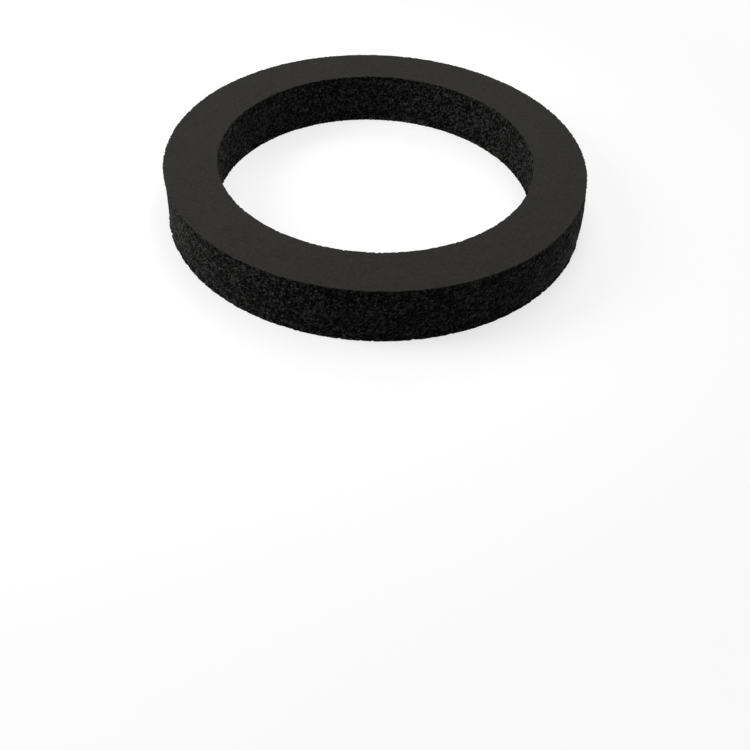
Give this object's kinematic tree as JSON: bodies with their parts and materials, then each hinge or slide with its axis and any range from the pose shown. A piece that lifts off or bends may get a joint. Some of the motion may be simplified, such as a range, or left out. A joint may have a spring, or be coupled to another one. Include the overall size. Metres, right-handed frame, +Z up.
{
  "type": "speaker foam ring",
  "caption": "Flat round ring of thick black closed-cell foam that seals the gap round a loudspeaker, with smooth skinned faces and rough cut walls.",
  "frame": {"origin": "middle of the ring, at the height of its underside", "axes": "+Z up through the thickness, from the underside to the top face; X and Y are any two directions across the ring"},
  "size_m": [0.1856, 0.1856, 0.025],
  "materials": {
    "charcoal_foam": "matt; smooth dense skin on the flat faces, cut open cells on the walls"
  },
  "bodies": {
    "root": {"foam_ring": "charcoal_foam"}
  },
  "joints": []
}
